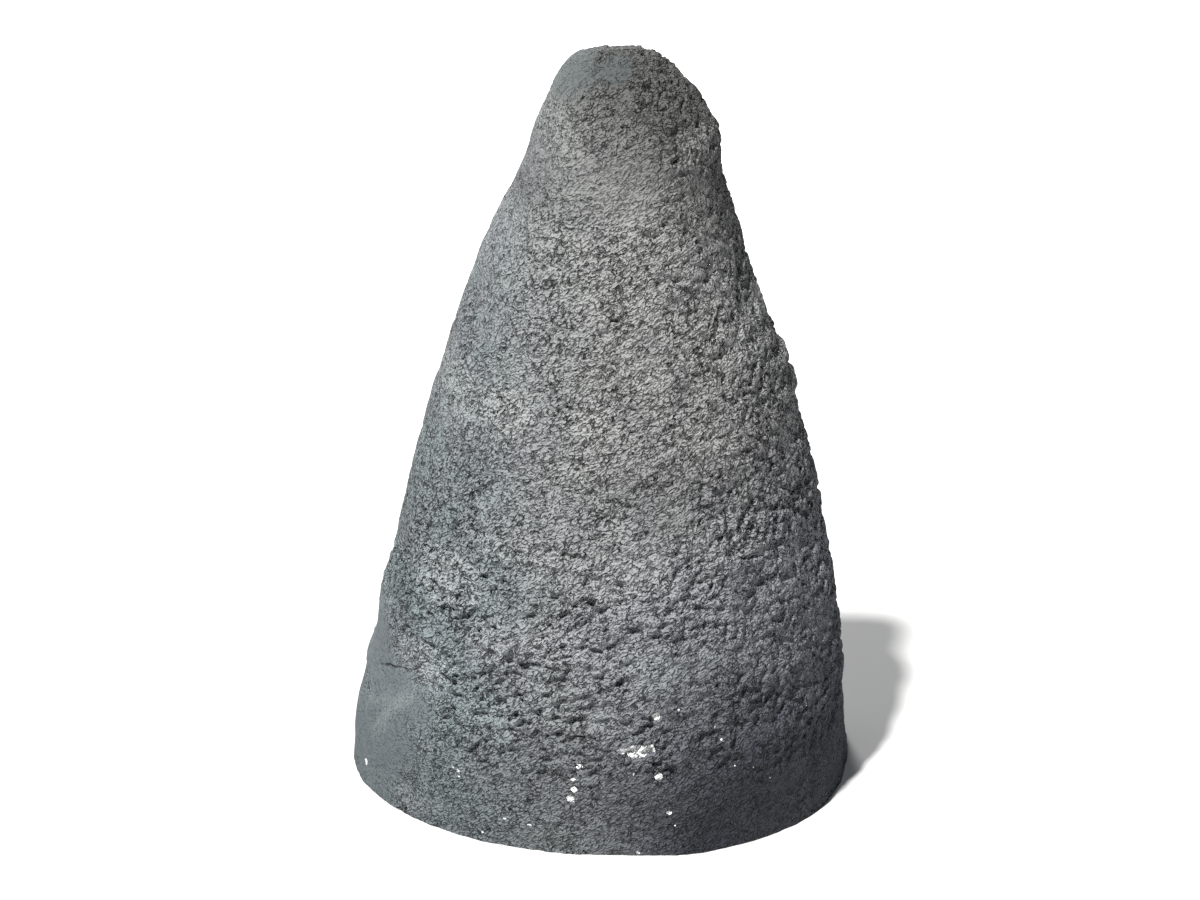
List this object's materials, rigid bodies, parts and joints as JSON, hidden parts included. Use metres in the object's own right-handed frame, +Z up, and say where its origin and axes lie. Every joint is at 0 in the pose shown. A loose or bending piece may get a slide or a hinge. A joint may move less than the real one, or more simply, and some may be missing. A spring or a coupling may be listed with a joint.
{
  "type": "amethyst cluster",
  "caption": "Upright cut-base amethyst cluster: a tapering lump of geode, cement-coated behind, with a crystal-lined hollow and a sawn rim in front.",
  "frame": {"origin": "on the floor under the middle of the object, in the plane of the sawn base", "axes": "+Z up, +Y out of the hollow towards whoever looks at the crystals, -Y out of the cement-coated back"},
  "size_m": [0.2032, 0.1159, 0.2963],
  "materials": {
    "dark_cement": "rough trowelled cement, matt",
    "agate": "sawn and polished on the rim",
    "amethyst": "clear to cloudy violet crystal with flat, glassy faces"
  },
  "bodies": {
    "root": {"cement_coat": "dark_cement", "geode_wall": "agate", "amethyst_crust": "amethyst"}
  },
  "joints": []
}
